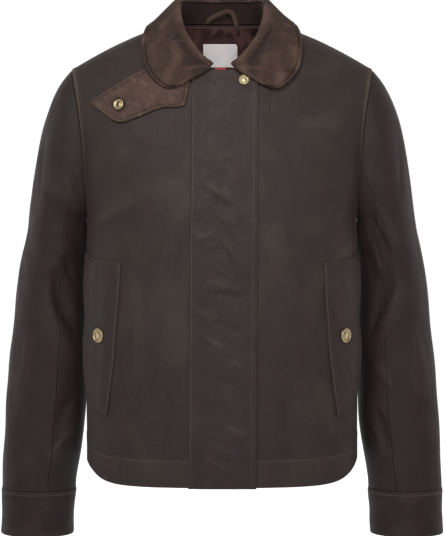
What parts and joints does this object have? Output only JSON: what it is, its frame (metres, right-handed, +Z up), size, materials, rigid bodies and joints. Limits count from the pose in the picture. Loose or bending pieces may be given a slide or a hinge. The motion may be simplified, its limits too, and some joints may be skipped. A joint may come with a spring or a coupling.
{
  "type": "waxed cotton jacket",
  "caption": "Closed waist-length waxed cotton jacket with a corduroy collar and throat tab, front placket, patch pockets and brass snaps, filled out as if worn.",
  "frame": {"origin": "middle of the neck, level with the shoulders, where the wearer holds the jacket up", "axes": "+Z up, the front faces -Y, the wearer's left is +X"},
  "size_m": [0.6236, 0.2539, 0.7547],
  "materials": {
    "waxed_cotton": "waxed, dull sheen",
    "corduroy": "fine-wale pile",
    "antique_brass": "antiqued",
    "woven_label": "satin weave",
    "size_tab": "satin weave"
  },
  "bodies": {
    "root": {"front_right": "waxed_cotton", "front_left": "waxed_cotton", "back": "waxed_cotton", "front_placket": "waxed_cotton", "pocket_right": "waxed_cotton", "pocket_left": "waxed_cotton", "sleeve_right_front": "waxed_cotton", "sleeve_right_back": "waxed_cotton", "sleeve_left_front": "waxed_cotton", "sleeve_left_back": "waxed_cotton", "cuff_right": "waxed_cotton", "cuff_left": "waxed_cotton", "collar_stand": "corduroy", "collar_fall": "corduroy", "throat_tab": "corduroy", "back_neck_facing": "corduroy", "hanger_loop": "corduroy", "snap_placket": "antique_brass", "snap_tab": "antique_brass", "snap_pocket_right": "antique_brass", "snap_pocket_left": "antique_brass", "neck_label": "woven_label", "size_tab": "size_tab"}
  },
  "joints": []
}
